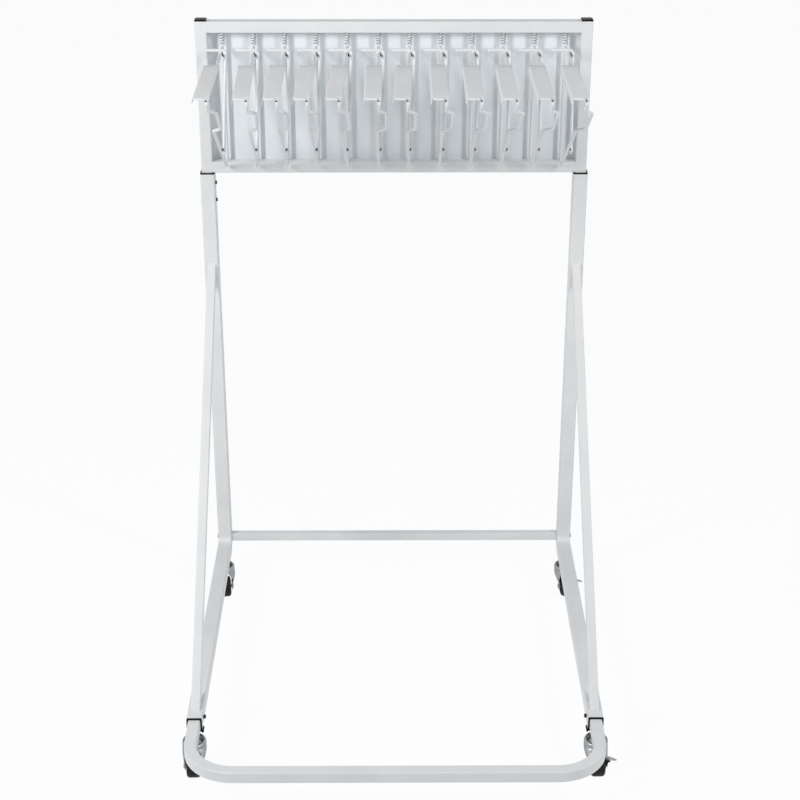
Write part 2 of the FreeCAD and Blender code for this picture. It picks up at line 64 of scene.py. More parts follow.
def startMaterial(name):
    material = bpy.data.materials.new(name)
    material.use_nodes = True
    tree = material.node_tree
    tree.nodes.clear()
    place = addNode(tree, "ShaderNodeTexCoord").outputs["Object"]
    return material, tree, place


def closeMaterial(tree, shader):
    addNode(tree, "ShaderNodeOutputMaterial", {"Surface": shader.outputs[0]})


# camera: seen from in front and above, at the height of a standing viewer
view = {"place": (-0.0075, -3.2242, 2.1984), "tiltDown": 25.069, "turnRight": 0.331,
        "roll": 0.050, "lens": 77.025, "sensor": 36.0, "near": 0.05, "far": 60}


def makeCamera():
    data = bpy.data.cameras.new("viewCamera")
    data.lens = view["lens"]
    data.sensor_width = view["sensor"]
    data.clip_start = view["near"]
    data.clip_end = view["far"]
    camera = bpy.data.objects.new("viewCamera", data)
    bpy.context.scene.collection.objects.link(camera)
    aim = Euler((math.radians(90 - view["tiltDown"]), 0, math.radians(-view["turnRight"]))).to_matrix()
    camera.matrix_world = (Matrix.Translation(view["place"]) @ aim.to_4x4()
                           @ Matrix.Rotation(math.radians(view["roll"]), 4, "Z"))
    bpy.context.scene.camera = camera


makeCamera()
print("camera placed")

# studio: two soft boxes in front, one each side, and a pale sweep
studio = {
    "leftBox": {"place": (-2.2, -1.45, 2.32), "aim": (0.0, 0.1, 1.0), "size": (0.2, 1.2), "watts": 53.0},
    "rightBox": {"place": (2.2, -1.45, 2.32), "aim": (0.0, 0.1, 1.0), "size": (0.3, 1.2), "watts": 35.5},
    "roomLight": 0.29,
    "roomHex": "#eef4fa",
    "floorSize": 30.0,
    "floorHex": "#f2f2f2",
    "floorGlow": 0.95,      # share of plain white where the floor is seen; the rest takes the shadow
}


def makeLamp(name, facts):
    data = bpy.data.lights.new(name, "AREA")
    data.shape = "RECTANGLE"
    data.size, data.size_y = facts["size"]
    data.energy = facts["watts"]
    lamp = bpy.data.objects.new(name, data)
    bpy.context.scene.collection.objects.link(lamp)
    lamp.location = facts["place"]
    reach = Vector(facts["aim"]) - Vector(facts["place"])
    lamp.rotation_euler = reach.to_track_quat("-Z", "Y").to_euler()


# 1 where the background is seen, mirrored or looked through, 0 where it only lights the rack
def seenShare(tree):
    rays = addNode(tree, "ShaderNodeLightPath")
    share = rays.outputs["Is Camera Ray"]
    for kind in ("Is Glossy Ray", "Is Transmission Ray"):
        share = addNode(tree, "ShaderNodeMath", {0: share, 1: rays.outputs[kind]}, operation="MAXIMUM").outputs[0]
    return share


def makeWorld():
    world = bpy.data.worlds.new("studioWorld")
    bpy.context.scene.world = world
    world.use_nodes = True
    tree = world.node_tree
    tree.nodes.clear()
    seen = seenShare(tree)
    level = addNode(tree, "ShaderNodeMix", {0: seen, 2: studio["roomLight"], 3: 1.0})
    colour = addNode(tree, "ShaderNodeMix", {0: seen, 6: hexColour(studio["roomHex"]), 7: (1, 1, 1, 1)},
                     data_type="RGBA")
    glow = addNode(tree, "ShaderNodeBackground", {"Color": colour.outputs[2], "Strength": level.outputs[0]})
    addNode(tree, "ShaderNodeOutputWorld", {"Surface": glow.outputs[0]})


def makeFloor():
    half = studio["floorSize"] / 2
    mesh = bpy.data.meshes.new("studioFloor")
    corners = [(-half, -half, 0), (half, -half, 0), (half, half, 0), (-half, half, 0)]
    mesh.from_pydata(corners, [], [(0, 1, 2, 3)])
    floor = bpy.data.objects.new("studioFloor", mesh)
    bpy.context.scene.collection.objects.link(floor)
    material, tree, _ = startMaterial("seamlessPaper")
    paper = addNode(tree, "ShaderNodeBsdfDiffuse", {"Color": hexColour(studio["floorHex"])})
    white = addNode(tree, "ShaderNodeEmission", {"Color": (1, 1, 1, 1), "Strength": 1.0})
    share = addNode(tree, "ShaderNodeMath", {0: seenShare(tree), 1: studio["floorGlow"]}, operation="MULTIPLY")
    mix = addNode(tree, "ShaderNodeMixShader", {0: share.outputs[0], 1: paper.outputs[0], 2: white.outputs[0]})
    closeMaterial(tree, mix)
    mesh.materials.append(material)


for lampName in ("leftBox", "rightBox"):
    makeLamp(lampName, studio[lampName])
makeWorld()
makeFloor()
bpy.context.scene.view_settings.view_transform = "Standard"
print("studio lit")

# polyester powder coat, sprayed and baked: satin, with a faint orange peel and slight unevenness
# peel, cloud and depth are in millimetres: one dimple, one soft patch, and how deep a dimple is
powderCoat = {
    "cloud": 1000 / 9, "patches": (0.35, 0.7), "bump": 0.25,
    "frame": {"hex": "#ebecec", "shade": "#e4e6e7", "roughness": (0.37, 0.47), "peel": 1.6, "depth": 0.012},
    "panel": {"hex": "#ecf0f2", "shade": "#e6ebee", "roughness": (0.41, 0.51), "peel": 1.8, "depth": 0.012},
    "wire": {"hex": "#eceeef", "shade": "#e7e9ea", "roughness": (0.27, 0.37), "peel": 1.2, "depth": 0.010},
    "label": {"hex": "#efefef", "shade": "#e9e9e9", "roughness": (0.41, 0.51), "peel": 1.5, "depth": 0.010},
}


def makePowderCoat(name, facts):
    material, tree, place = startMaterial(name)
    cloud = addNode(tree, "ShaderNodeTexNoise", {
        "Vector": place, "Scale": 1 / (powderCoat["cloud"] * mm), "Detail": 3.0})
    low, high = powderCoat["patches"]
    blotch = addNode(tree, "ShaderNodeMapRange", {"Value": cloud.outputs[0], "From Min": low, "From Max": high})
    colour = addNode(tree, "ShaderNodeMix", {
        0: blotch.outputs[0], 6: hexColour(facts["hex"]), 7: hexColour(facts["shade"])}, data_type="RGBA")
    peel = addNode(tree, "ShaderNodeTexNoise", {"Vector": place, "Scale": 1 / (facts["peel"] * mm), "Detail": 1.0})
    bump = addNode(tree, "ShaderNodeBump", {
        "Strength": powderCoat["bump"], "Distance": facts["depth"] * mm, "Height": peel.outputs[0]})
    smooth, rough = facts["roughness"]
    gloss = addNode(tree, "ShaderNodeMapRange", {"Value": cloud.outputs[0], "To Min": smooth, "To Max": rough})
    shader = addNode(tree, "ShaderNodeBsdfPrincipled", {
        "Base Color": colour.outputs[2], "Roughness": gloss.outputs[0], "Normal": bump.outputs[0], "IOR": 1.5})
    closeMaterial(tree, shader)
    return material


# bright zinc plate over pressed steel: cool grey metal, fine rolled grain, duller where it was drawn
# grain and mottle are in millimetres: one streak of the grain, one dull patch
zincPlate = {
    "bump": 0.3, "depth": 0.01,
    "spring": {"hex": "#8c8f92", "dull": "#5f6265", "roughness": (0.18, 0.38), "grain": 0.4, "mottle": 6.0},
    "bright": {"hex": "#aeb1b3", "dull": "#85888b", "roughness": (0.24, 0.44), "grain": 0.5, "mottle": 14.0},
}


def makeZinc(name, facts):
    material, tree, place = startMaterial(name)
    mottle = addNode(tree, "ShaderNodeTexNoise", {
        "Vector": place, "Scale": 1 / (facts["mottle"] * mm), "Detail": 4.0})
    colour = addNode(tree, "ShaderNodeMix", {
        0: mottle.outputs[0], 6: hexColour(facts["hex"]), 7: hexColour(facts["dull"])}, data_type="RGBA")
    grain = addNode(tree, "ShaderNodeTexNoise", {
        "Vector": place, "Scale": 1 / (facts["grain"] * mm), "Detail": 2.0})
    bump = addNode(tree, "ShaderNodeBump", {
        "Strength": zincPlate["bump"], "Distance": zincPlate["depth"] * mm, "Height": grain.outputs[0]})
    smooth, rough = facts["roughness"]
    gloss = addNode(tree, "ShaderNodeMapRange", {"Value": mottle.outputs[0], "To Min": smooth, "To Max": rough})
    shader = addNode(tree, "ShaderNodeBsdfPrincipled", {
        "Base Color": colour.outputs[2], "Metallic": 1.0, "Roughness": gloss.outputs[0], "Normal": bump.outputs[0]})
    closeMaterial(tree, shader)
    return material


# moulded polypropylene and polyamide: near black, a fine spark-eroded grain from the mould, a little dust
# dust and grain are in millimetres
mouldedPlastic = {
    "dust": 9, "dusty": (0.4, 0.75), "bump": 0.35, "depth": 0.02,
    "bushing": {"hex": "#060608", "worn": "#0e0e11", "gloss": 0.14, "roughness": 0.42, "grain": 0.6},
    "wheel": {"hex": "#0b0c0c", "worn": "#191a19", "gloss": 0.22, "roughness": 0.52, "grain": 0.8},
}


def makePlastic(name, facts):
    material, tree, place = startMaterial(name)
    dust = addNode(tree, "ShaderNodeTexNoise", {
        "Vector": place, "Scale": 1 / (mouldedPlastic["dust"] * mm), "Detail": 5.0})
    low, high = mouldedPlastic["dusty"]
    amount = addNode(tree, "ShaderNodeMapRange", {"Value": dust.outputs[0], "From Min": low, "From Max": high})
    colour = addNode(tree, "ShaderNodeMix", {
        0: amount.outputs[0], 6: hexColour(facts["hex"]), 7: hexColour(facts["worn"])}, data_type="RGBA")
    grain = addNode(tree, "ShaderNodeTexNoise", {
        "Vector": place, "Scale": 1 / (facts["grain"] * mm), "Detail": 2.0})
    bump = addNode(tree, "ShaderNodeBump", {
        "Strength": mouldedPlastic["bump"], "Distance": mouldedPlastic["depth"] * mm, "Height": grain.outputs[0]})
    shader = addNode(tree, "ShaderNodeBsdfPrincipled", {
        "Base Color": colour.outputs[2], "Roughness": facts["roughness"], "Normal": bump.outputs[0], "IOR": 1.5,
        "Specular IOR Level": facts["gloss"]})
    closeMaterial(tree, shader)
    return material


# black oxide on steel screws: dark, slightly warm, with a dull oil sheen; the grain is in millimetres
blackOxide = {"hex": "#17171a", "roughness": (0.32, 0.48), "metallic": 0.4, "grain": 0.7}


def makeBlackOxide(name, facts):
    material, tree, place = startMaterial(name)
    grain = addNode(tree, "ShaderNodeTexNoise", {
        "Vector": place, "Scale": 1 / (facts["grain"] * mm), "Detail": 2.0})
    smooth, rough = facts["roughness"]
    gloss = addNode(tree, "ShaderNodeMapRange", {"Value": grain.outputs[0], "To Min": smooth, "To Max": rough})
    shader = addNode(tree, "ShaderNodeBsdfPrincipled", {
        "Base Color": hexColour(facts["hex"]), "Metallic": facts["metallic"], "Roughness": gloss.outputs[0]})
    closeMaterial(tree, shader)
    return material


finishes = {
    "frame_paint": makePowderCoat("framePowderCoat", powderCoat["frame"]),
    "panel_paint": makePowderCoat("panelPowderCoat", powderCoat["panel"]),
    "wire_paint": makePowderCoat("wirePowderCoat", powderCoat["wire"]),
    "label_paint": makePowderCoat("labelPowderCoat", powderCoat["label"]),
    "zinc_plate": makeZinc("brightZincPlate", zincPlate["bright"]),
    "spring_steel": makeZinc("springZincPlate", zincPlate["spring"]),
    "black_plastic": makePlastic("mouldedPolyamide", mouldedPlastic["bushing"]),
    "wheel_plastic": makePlastic("mouldedPolypropylene", mouldedPlastic["wheel"]),
    "black_screw": makeBlackOxide("blackOxideSteel", blackOxide),
}

for part in frame["record"]["subparts"]:
    piece = nodes[part["node"]]
    piece.data.materials.clear()
    piece.data.materials.append(finishes[part["material_slot"]])
print("finishes on", len(nodes), "pieces")


# shapes are (points, faces) in millimetres, built from rings of points
def circle(radius, height, steps=48):
    if radius == 0:
        return [(0, 0, height)]
    turns = [2 * math.pi * k / steps for k in range(steps)]
    return [(radius * math.cos(a), radius * math.sin(a), height) for a in turns]


def hexagon(flat, corner, height, steps=48):
    ring = []
    for k in range(steps):
        a = 2 * math.pi * k / steps
        reach = min(flat / math.cos((a + math.pi / 6) % (math.pi / 3) - math.pi / 6), corner)
        ring.append((reach * math.cos(a), reach * math.sin(a), height))
    return ring


def roundedSquare(half, corner, height, steps=6):
    ring = []
    flat = (half - corner) * math.sqrt(2)
    for quarter in range(4):
        middle = math.pi / 4 * (2 * quarter + 1)
        for k in range(steps + 1):
            a = math.pi / 2 * (quarter + k / steps)
            ring.append((flat * math.cos(middle) + corner * math.cos(a),
                         flat * math.sin(middle) + corner * math.sin(a), height))
    return ring


def band(first, second):
    count = max(len(first), len(second))
    faces = []
    for k in range(count):
        n = (k + 1) % count
        if len(first) == 1:
            faces.append((first[0], second[n], second[k]))
        elif len(second) == 1:
            faces.append((first[k], first[n], second[0]))
        else:
            faces.append((first[k], first[n], second[n], second[k]))
    return faces


def stack(rings, closed=False):
    points, spans, faces = [], [], []
    for ring in rings:
        spans.append(range(len(points), len(points) + len(ring)))
        points += ring
    for first, second in zip(spans, spans[1:] + (spans[:1] if closed else [])):
        faces += band(first, second)
    return points, faces


def lathe(profile, steps=48, closed=False):
    return stack([circle(radius, height, steps) for radius, height in profile], closed)


def prism(outline, low, high):
    rings = [[(x, y, z) for x, y in outline] for z in (low, high)]
    points, faces = stack(rings)
    count = len(outline)
    return points, faces + [tuple(range(count)), tuple(range(2 * count - 1, count - 1, -1))]


# faces of a sheet whose points lie in rows, each of the same length
def sheetFaces(rows, wide, flipped=False):
    one, two = (wide, 1) if flipped else (1, wide)
    starts = [r * wide + c for r in range(rows - 1) for c in range(wide - 1)]
    return [(a, a + one, a + one + two, a + two) for a in starts]


def moved(shape, matrix):
    return [tuple(matrix @ Vector(point)) for point in shape[0]], shape[1]


def merged(shapes):
    points, faces = [], []
    for some, others in shapes:
        faces += [tuple(k + len(points) for k in face) for face in others]
        points += some
    return points, faces


def shift(x, y, z):
    return Matrix.Translation((x, y, z))


def turn(degrees, axis):
    return Matrix.Rotation(math.radians(degrees), 4, axis)


def bakeModifiers(piece):
    seen = piece.evaluated_get(bpy.context.evaluated_depsgraph_get())
    baked = bpy.data.meshes.new_from_object(seen)
    piece.modifiers.clear()
    piece.data = baked


def makePiece(name, shape, slot, body, replaced=(), sharp=38, sheet=0, bevel=0):
    mesh = bpy.data.meshes.new(name)
    mesh.from_pydata([[c * mm for c in point] for point in shape[0]], [], shape[1])
    work = bmesh.new()
    work.from_mesh(mesh)
    bmesh.ops.recalc_face_normals(work, faces=work.faces)
    work.to_mesh(mesh)
    work.free()
    mesh.materials.append(finishes[slot])
    piece = bpy.data.objects.new(name, mesh)
    bpy.context.scene.collection.objects.link(piece)
    if sheet:
        layer = piece.modifiers.new("sheet", "SOLIDIFY")
        layer.thickness = sheet * mm
        layer.offset = -1
    if bevel:
        edge = piece.modifiers.new("edge", "BEVEL")
        edge.width = bevel * mm
        edge.segments = 2
        edge.limit_method = "ANGLE"
        edge.angle_limit = math.radians(50)
    if sheet or bevel:
        bakeModifiers(piece)
    piece.data.shade_smooth()
    piece.data.set_sharp_from_angle(angle=math.radians(sharp))
    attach(piece, body)
    if replaced:
        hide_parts(*replaced)


# casters: pressed forks, moulded wheels and stems, about their own swivel axis
casters = {
    "front_left": {"spot": (-416, -320), "turn": 3.0, "holder": "base"},
    "front_right": {"spot": (416, -320), "turn": 1.0, "holder": "base"},
    "rear_left": {"spot": (-416, 385), "turn": 8.0, "holder": "side_frames"},
    "rear_right": {"spot": (416, 385), "turn": 4.0, "holder": "side_frames"},
}
fork = {
    # radius and height, from the stem outward: dish, ball track, rolled rim
    "crown": [(5.3, 63.2), (9.0, 63.2), (12.6, 63.2), (14.6, 62.4), (16.2, 62.0), (17.2, 62.8), (18.2, 65.2),
              (19.6, 67.0), (21.5, 67.7), (23.7, 67.6), (25.2, 66.6), (26.0, 64.4), (26.2, 61.0), (26.2, 57.6)],
    # height, y of the front edge, of the window's edges and of the back edge, reach to the side, crowning
    "leg": [(54.0, -29.5, -21.0, -10.0, 19.0, 26.8, 12.5), (50.0, -34.0, -26.0, -15.6, 12.0, 26.7, 8.5),
            (46.0, -36.5, -30.0, -21.2, 5.0, 25.4, 5.5), (42.0, -38.0, -33.0, -25.2, -1.4, 23.6, 3.6),
            (39.5, -38.5, -33.6, -26.4, -5.5, 22.4, 2.6), (35.0, -38.9, -33.6, -26.4, -11.6, 20.4, 1.5),
            (31.0, -39.0, -33.6, -26.4, -16.4, 19.3, 0.9), (28.0, -39.0, -33.6, -26.4, -19.4, 18.9, 0.5),
            (25.0, -39.0, -33.6, -26.4, -21.0, 18.8, 0.3), (21.0, -38.06, -33.3, -26.7, -21.94, 18.8, 0.3),
            (18.0, -35.66, -32.2, -27.8, -24.34, 18.8, 0.3), (16.3, -32.3, -30.9, -29.1, -27.7, 18.8, 0.3)],
    # the side away from the rack: from which radius to which and by what share the rim is flattened,
    # and each row's reach, on a leg with a brake and on a plain one
    "flattened": (18.0, 25.0, 0.105),
    "brakedReach": [23.0, 22.0, 21.2, 20.9, 20.6, 19.4, 18.5, 18.3, 18.2, 18.2, 18.2, 18.2],
    "outerReach": [23.3, 23.1, 22.4, 21.4, 20.8, 19.6, 18.9, 18.8, 18.8, 18.8, 18.8, 18.8],
    "outerCrowning": 0.7,
    "columns": 14, "window": (-9, -3), "windowRows": (5, 6), "sheet": 2.0, "bevel": 0.35, "steps": 72,
    # the back web between the legs, in degrees to each side of the back
    "web": {"radius": 26.0, "top": 58.5, "low": 38.0, "rise": 11.0, "spread": 50, "step": 5, "rows": 5},
}
pedal = {
    "pin": (21.9, -30.0, 38.0), "pinShape": [(0, -4.6), (1.2, -4.6), (1.5, -4.3), (1.5, 4.3), (1.2, 4.6), (0, 4.6)],
    "lug": {"radius": 2.4, "root": 18.6, "sheet": 1.5, "starts": (25.4, 33.1)},
    "barrel": [(2.7, -2.6), (2.7, 2.6), (2.5, 2.8), (1.58, 2.8), (1.58, -2.8), (2.5, -2.8)],
    # tab: reach from the pin and half width, places across, and how far its edges droop from that half width on
    "outline": [(0, 5.5), (2.5, 5.5), (4, 5.3), (7, 4.5), (10, 3.7), (13, 2.9), (15.5, 2.2), (16.9, 1.4),
                (17.5, 0.5)],
    "across": (-1, -0.8, -0.4, 0, 0.4, 0.8, 1), "droop": 0.5, "droopHalf": 5,
    "tilt": 18.0, "lift": 1.4, "sheet": 1.8,
    "cam": [(-1.3, 0), (3.1, 0), (4.2, -2.2), (4.2, -6.2), (3.4, -7.2), (0.8, -7.2), (0.2, -5.4), (-5.2, -5.3),
            (-5.7, -4.8), (-5.7, -2.9), (-1.3, -2.6)],
    "camHalf": 2.8,
    # moulded guard, clipped over the front edge of the braked leg
    "guard": [(0.2, 3.0), (-0.6, 0.5), (-1.6, -2.2), (-3.1, -6.5), (-4.4, -10.5), (-6.0, -10.7), (-6.3, -9.0),
              (-5.0, 0.5), (-3.6, 3.4), (-0.4, 3.6)],
    "guardReach": (7.0, 11.4),
}
wheel = {
    # radius and half width, from the bore over the hub, the hollow and the rim to the tread
    "side": [(4.2, 13.7), (4.7, 14.3), (7.4, 14.5), (8.0, 14.1), (8.5, 11.2), (9.2, 11.0), (16.0, 11.0),
             (16.9, 11.4), (17.3, 13.9), (18.0, 14.5), (19.8, 14.26), (21.5, 13.56), (22.95, 12.45), (24.06, 11.0),
             (24.76, 9.31), (25.0, 7.5), (25.0, 0.5), (24.85, 0.3)],
    "radius": 25.0, "steps": 72, "axle": (0, -30, 25),
    "ribs": 6, "ribHalf": 0.9, "ribTaper": 0.8, "ribFoot": 10.8, "ribTop": 13.2, "ribFrom": 8.2, "ribTo": 17.1,
}
stem = {"race": [(11.2, 66.0), (12.0, 65.8), (14.3, 64.7), (15.0, 63.9), (15.0, 63.1), (14.7, 63.0), (13.9, 63.0),
                 (12.4, 63.6), (5.0, 63.6), (5.0, 60.8), (7.0, 60.8), (8.0, 59.7), (6.4, 58.4), (0, 58.0)],
        "flat": 8.5, "corner": 9.8, "endCorner": 8.7, "nut": (66.0, 70.0), "nutChamfer": 0.6,
        "shaft": 5.0, "top": 94.0, "chamfer": 0.8}


def spread(k, stops, values):
    for low, high, first, last in zip(stops, stops[1:], values, values[1:]):
        if k <= high:
            return first + (last - first) * (k - low) / (high - low)
    return values[-1]


def forkWeb():
    web, points = fork["web"], []
    turns = range(90 - web["spread"], 91 + web["spread"], web["step"])
    for row in range(web["rows"]):
        share = row / (web["rows"] - 1)
        for a in turns:
            low = web["low"] + web["rise"] * ((a - 90) / web["spread"]) ** 2
            points.append((web["radius"] * math.cos(math.radians(a)), web["radius"] * math.sin(math.radians(a)),
                           web["top"] + (low - web["top"]) * share))
    return points, sheetFaces(web["rows"], len(turns))


# outward is the x direction of the side away from the rack
def forkShape(braked, outward):
    points, faces = lathe(fork["crown"], fork["steps"])
    half, steps = fork["columns"], fork["steps"]
    start, end, flat = fork["flattened"]
    for k, (x, y, z) in enumerate(points):
        if x * outward > 0:
            points[k] = (x * (1 - flat * max(0, min(1, (math.hypot(x, y) - start) / (end - start)))), y, z)
    rim = len(points) - steps
    for side in (1, -1):
        above = [rim + (k + (0 if side > 0 else steps // 2)) % steps for k in range(-half, half + 1)]
        for row, (z, front, windowFront, windowBack, back, reach, crowning) in enumerate(fork["leg"]):
            if side == outward:
                reach = fork["brakedReach" if braked else "outerReach"][row]
                crowning *= fork["outerCrowning"]
            below = []
            for k in range(-half, half + 1):
                y = spread(k, (-half, *fork["window"], half), (front, windowFront, windowBack, back))
                below.append(len(points))
                points.append((side * (reach - crowning * (k / half) ** 2), y, z))
            if side < 0:
                below.reverse()
            for k in range(2 * half):
                inWindow = fork["window"][0] <= k - half < fork["window"][1] and row in fork["windowRows"]
                if not (braked and side > 0 and inWindow):
                    faces.append((above[k], above[k + 1], below[k + 1], below[k]))
            above = below
    return merged([(points, faces), forkWeb()])


def casterPlace(facts):
    return shift(*facts["spot"], 0) @ turn(facts["turn"], "Z")


def pinLugs():
    x, y, z = pedal["pin"]
    lug = pedal["lug"]
    radius, root = lug["radius"], lug["root"]
    arc = [(x + radius * math.sin(a), radius * math.cos(a)) for a in [math.pi * k / 10 for k in range(11)]]
    outline = [(root, radius)] + arc + [(root, -radius)]
    upright = turn(90, "X")
    lugs = [moved(prism(outline, low, low + lug["sheet"]), shift(0, 0, z) @ upright) for low in lug["starts"]]
    return merged(lugs + [moved(lathe(pedal["pinShape"], 24), shift(x, y, z) @ upright)])


def pedalTab():
    top, points = pedal["lift"] + pedal["sheet"], []
    for x, half in pedal["outline"]:
        droop = pedal["droop"] * min(half / pedal["droopHalf"], 1)
        points += [(x, half * s, top - droop * s * s) for s in pedal["across"]]
    faces = sheetFaces(len(pedal["outline"]), len(pedal["across"]), flipped=True)
    return moved((points, faces), shift(*pedal["pin"]) @ turn(pedal["tilt"], "Y"))


def wheelShape():
    side, half = wheel["side"], wheel["ribHalf"]
    tyre = lathe(side + [(wheel["radius"], 0)] + [(r, -a) for r, a in reversed(side)], wheel["steps"], closed=True)
    tip = half * wheel["ribTaper"]
    outline = [(wheel["ribFrom"], -half), (wheel["ribTo"], -tip), (wheel["ribTo"], tip), (wheel["ribFrom"], half)]
    ribs = []
    for k in range(wheel["ribs"]):
        for face in (1, -1):
            low, high = sorted((face * wheel["ribFoot"], face * wheel["ribTop"]))
            ribs.append(moved(prism(outline, low, high), turn(360 / wheel["ribs"] * k, "Z")))
    return moved(merged([tyre] + ribs), shift(*wheel["axle"]) @ turn(90, "Y"))


def stemShape():
    flat, corner, end, shaft, top = (stem[name] for name in ("flat", "corner", "endCorner", "shaft", "top"))
    low, high = stem["nut"]
    nut = stack([hexagon(flat, end, low), hexagon(flat, corner, low + stem["nutChamfer"]),
                 hexagon(flat, corner, high - stem["nutChamfer"]), hexagon(flat, end, high)])
    cover = stack([hexagon(flat, end, high), circle(0, high)])
    race = lathe([(0, low)] + stem["race"])
    rod = lathe([(shaft, high - 1), (shaft, top - stem["chamfer"]), (shaft - stem["chamfer"], top), (0, top)])
    return merged([race, nut, cover, rod])


def makePedal(name, tag, place):
    fixed, moving = "caster_" + name, "pedal_" + name
    pinned = place @ shift(*pedal["pin"]) @ turn(90, "X")
    makePiece("pedalLugs" + tag, moved(pinLugs(), place), "zinc_plate", fixed, bevel=0.2)
    makePiece("pedalTab" + tag, moved(pedalTab(), place), "zinc_plate", moving, ["brake_pedal_" + name],
              sheet=pedal["sheet"], bevel=0.3)
    barrel = lathe(pedal["barrel"], 32, closed=True)
    makePiece("pedalBarrel" + tag, moved(barrel, pinned), "zinc_plate", moving)
    guard = prism(pedal["guard"], *pedal["guardReach"])
    makePiece("brakeGuard" + tag, moved(guard, pinned), "black_plastic", fixed, bevel=0.5)
    cam = prism(pedal["cam"], -pedal["camHalf"], pedal["camHalf"])
    makePiece("pedalCam" + tag, moved(cam, pinned), "black_plastic", moving, bevel=0.5)


def makeCasters():
    for end in ("front", "rear"):
        pair = [name for name in casters if name.startswith(end)]
        stems = merged([moved(stemShape(), casterPlace(casters[name])) for name in pair])
        makePiece(end + "CasterStems", stems, "zinc_plate", casters[pair[0]]["holder"], [end + "_caster_stems"])
    for name, facts in casters.items():
        place = casterPlace(facts)
        braked = name.endswith("right")
        tag = name.title().replace("_", "")
        shape = moved(forkShape(braked, 1 if braked else -1), place)
        makePiece("casterFork" + tag, shape, "zinc_plate", "caster_" + name, ["caster_fork_" + name],
                  sheet=fork["sheet"], bevel=fork["bevel"])
        makePiece("casterWheel" + tag, moved(wheelShape(), place), "wheel_plastic", "wheel_" + name,
                  ["caster_wheel_" + name], sharp=30)
        if braked:
            makePedal(name, tag, place)


makeCasters()
print("casters dressed")

# fasteners: socket screws, hexagon bolts on washers, blind rivets and moulded caps
fasteners = {
    "columnScrews": [(-400, 457.75, 1015), (-400, 457.75, 975)],
    "railScrews": [(-400, -266.05, 86), (400, -266.05, 86)],
    # clamp screw: the head's heights, and the radii of the head, its key hole and its shank
    "columnHead": 3.2, "railHead": 5.0, "headRadius": 4.25, "key": 2.3, "keyDepth": 0.45,
    "shank": 2.45, "reach": 3.2, "lead": 0.4, "edge": 0.15, "rounding": 0.5,
    # crossbar bolt: radius and height of its washer and shank, and flat, corner and height of its head
    "bolts": [(-432, 457.75, 107.9), (432, 457.75, 107.9)],
    "washer": [(3.0, 0), (5.3, 0), (5.5, 0.2), (5.5, 0.8), (5.3, 1.0), (0, 1.0)],
    "boltHead": [(4.6, 5.2, 0.9), (4.6, 5.2, 2.6), (4.6, 4.7, 3.2)],
    "boltDish": [(3.4, 3.2), (3.2, 3.05), (0, 3.05)],
    "boltShank": [(0, -48), (2.6, -48), (3.0, -47.4), (3.0, 0.5), (0, 0.5)],
    "rivetFace": 471.25, "rivetXs": [-337.5, -202.5, -67.5, 67.5, 202.5, 337.5], "rivetZs": [1365.5, 1053.5],
    "sideRivets": [(-416, 1209.5), (416, 1209.5)],
    "rivet": [(0, -5), (1.6, -5), (2.0, -4.6), (2.0, 0), (4.0, 0), (3.9, 0.35), (3.3, 0.85), (2.3, 1.18), (1.2, 1.2),
              (1.0, 1.05), (0.95, 0.3), (0.7, 0.2), (0, 0.2)],
    # post cap: half width, corner radius and height, from the plug upward
    "capSpots": [(-416, 457.75, 1378), (416, 457.75, 1378)],
    "cap": [(11.2, 1.0, -12), (11.2, 1.0, 0), (12.6, 1.8, 0.0), (12.7, 1.8, 0.15), (12.7, 1.9, 2.0),
            (12.45, 2.3, 2.8), (11.8, 2.6, 3.5), (10.7, 2.8, 3.9), (9.2, 3.0, 4.0)],
    # small tongue of each rail bushing, under the rail's inner corner
    "tongues": [(-400, -297.5, 68.0), (400, -297.5, 68.0)],
    "tongueOut": 1.5, "tongueIn": 2.8, "tongueLong": 19, "tongueHigh": 3.4,
}


def screwShape(head):
    radius, key, shank, reach = (fasteners[name] for name in ("headRadius", "key", "shank", "reach"))
    edge, rounding = fasteners["edge"], fasteners["rounding"]
    keyCorner, bottom = key * 1.15, head - head * fasteners["keyDepth"]
    return stack([circle(0, -reach), circle(shank - fasteners["lead"], -reach),
                  circle(shank, fasteners["lead"] - reach), circle(shank, 0),
                  circle(radius - edge, 0), circle(radius, edge), circle(radius, head - rounding),
                  circle(radius - edge, head - edge), circle(radius - rounding, head), circle(key * 1.25, head),
                  hexagon(key, keyCorner, head - 0.25), hexagon(key, keyCorner, bottom), circle(0, bottom - 0.5)])


def boltShape():
    head = [hexagon(*row) for row in fasteners["boltHead"]] + [circle(*row) for row in fasteners["boltDish"]]
    return merged([lathe(fasteners["washer"], 40), stack(head), lathe(fasteners["boltShank"], 32)])


def capShape():
    rows = fasteners["cap"]
    return stack([circle(0, rows[0][2])] + [roundedSquare(*row) for row in rows] + [circle(0, rows[-1][2])])


def tongueShape(x, y, z):
    side = math.copysign(1, x)
    low, high = sorted((x + side * fasteners["tongueOut"], x - side * fasteners["tongueIn"]))
    end = y + fasteners["tongueLong"]
    return prism([(low, y), (high, y), (high, end), (low, end)], z, z + fasteners["tongueHigh"])


# turns a screw's axis from upright to point at the middle of the rack
def inward(x):
    return turn(90 if x < 0 else -90, "Y")


